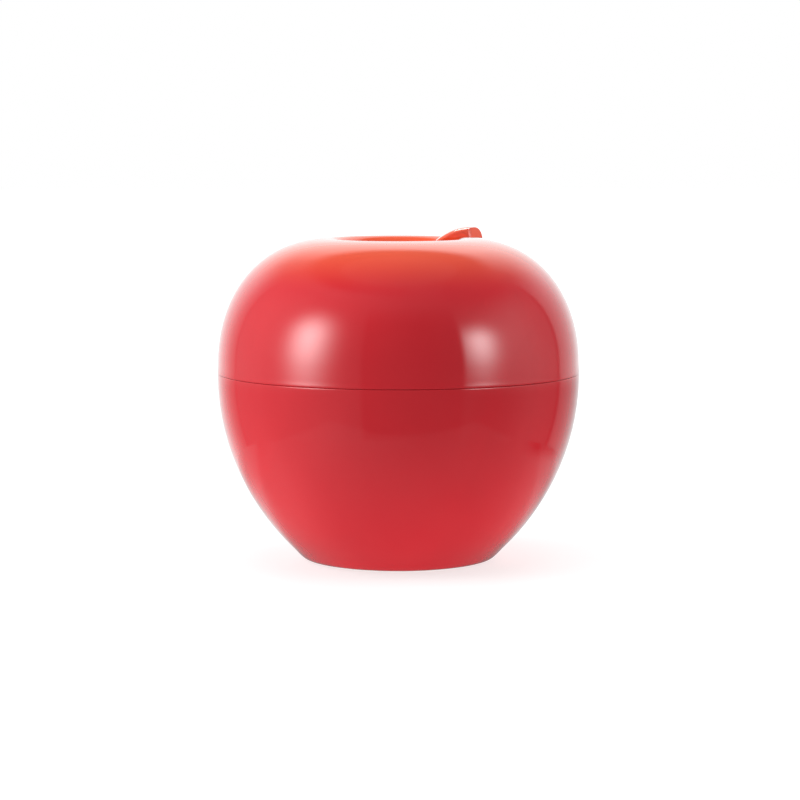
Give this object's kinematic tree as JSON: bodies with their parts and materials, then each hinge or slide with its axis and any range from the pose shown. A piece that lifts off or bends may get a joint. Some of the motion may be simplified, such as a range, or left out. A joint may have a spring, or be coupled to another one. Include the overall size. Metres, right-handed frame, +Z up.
{
  "type": "apple peeler corer",
  "caption": "Glossy red apple-shaped hand peeler and corer that parts at its middle: the top half holds a corer tube with a stem-handled plunger, the lower half a swivel peeler.",
  "frame": {"origin": "middle of the foot ring, on the table", "axes": "+Z up through the stem dimple, +X to the right, towards the side the stem leans to, -Y towards a person facing the front"},
  "size_m": [0.096, 0.096, 0.0884],
  "materials": {
    "red_plastic": "high-gloss moulded plastic",
    "ivory_plastic": "satin moulded plastic",
    "silicone": "matt silicone",
    "sheet_steel": "polished stainless sheet",
    "turned_steel": "turned stainless steel"
  },
  "bodies": {
    "base": {"lower_shell": "red_plastic", "foot_ring": "silicone", "seam_seal": "silicone", "tray": "ivory_plastic", "tray_screw_1": "turned_steel", "tray_screw_2": "turned_steel", "tray_screw_3": "turned_steel", "peeler_yoke": "ivory_plastic", "blade_pin_front": "turned_steel", "blade_pin_back": "turned_steel", "yoke_screw_1": "turned_steel", "yoke_screw_2": "turned_steel"},
    "top": {"upper_shell": "red_plastic", "corer_collar": "ivory_plastic", "corer_tube": "sheet_steel", "tube_rivet_front": "turned_steel", "tube_rivet_back": "turned_steel", "plunger_bush": "ivory_plastic", "rod_ring": "silicone", "collar_screw_1": "turned_steel", "collar_screw_2": "turned_steel", "collar_screw_3": "turned_steel"},
    "plunger": {"stem_handle": "red_plastic", "stem_pin": "turned_steel", "plunger_rod": "turned_steel", "plunger_piston": "ivory_plastic", "piston_clip": "turned_steel"},
    "blade": {"peeler_blade": "sheet_steel"}
  },
  "joints": [
    {"name": "top_lift", "type": "slide", "parent": "base", "child": "top", "axis": [0, 0, 1], "range_m": [0, 0.07]},
    {"name": "plunger_slide", "type": "slide", "parent": "top", "child": "plunger", "axis": [0, 0, 1], "range_m": [0, 0.048]},
    {"name": "blade_swivel", "type": "hinge", "parent": "base", "child": "blade", "pos_m": [-0.027, 0, 0.06609], "axis": [0, 1, 0], "range_deg": [-25, 25]}
  ]
}
